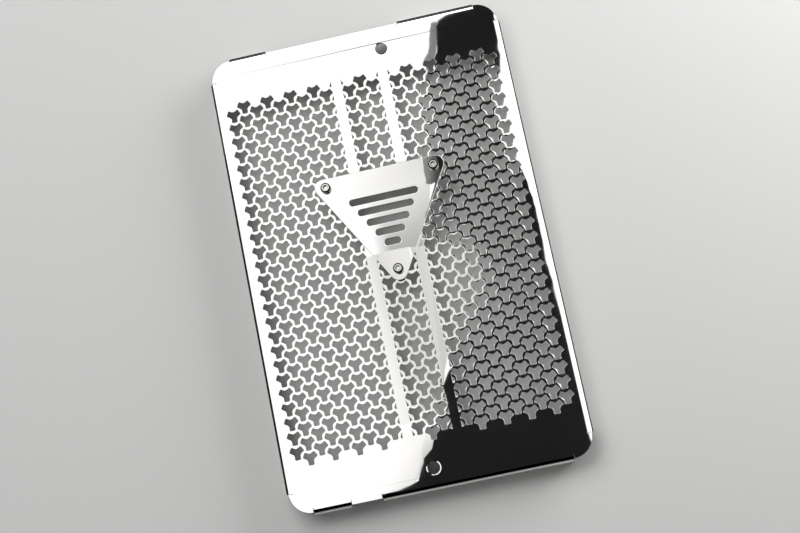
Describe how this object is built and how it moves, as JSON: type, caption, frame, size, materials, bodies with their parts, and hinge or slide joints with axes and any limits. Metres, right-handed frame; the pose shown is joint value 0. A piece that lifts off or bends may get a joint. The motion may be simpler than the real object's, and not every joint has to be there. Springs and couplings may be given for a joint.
{
  "type": "motorcycle radiator guard",
  "caption": "Folded stainless radiator guard pierced with three-armed openings, with two plain ribs, two fixing holes and a screwed triangular badge plate.",
  "frame": {"origin": "under the middle of the sheet, at the level of the flange rims that it rests on", "axes": "+X across the guard, +Y up the guard from its bottom edge to its top edge, +Z out of its polished face"},
  "size_m": [0.2094, 0.3254, 0.021],
  "materials": {
    "polished_stainless_sheet": "mirror-polished stainless steel",
    "polished_stainless_plate": "mirror-polished stainless steel",
    "polished_stainless_screw": "polished stainless steel",
    "plain_stainless_fastener": "bright turned stainless steel",
    "blue_nylon": "moulded nylon"
  },
  "bodies": {
    "root": {"guard_plate": "polished_stainless_sheet", "badge_plate": "polished_stainless_plate", "badge_screws": "polished_stainless_screw", "badge_washers": "plain_stainless_fastener", "badge_nuts": "plain_stainless_fastener", "nut_inserts": "blue_nylon"}
  },
  "joints": []
}
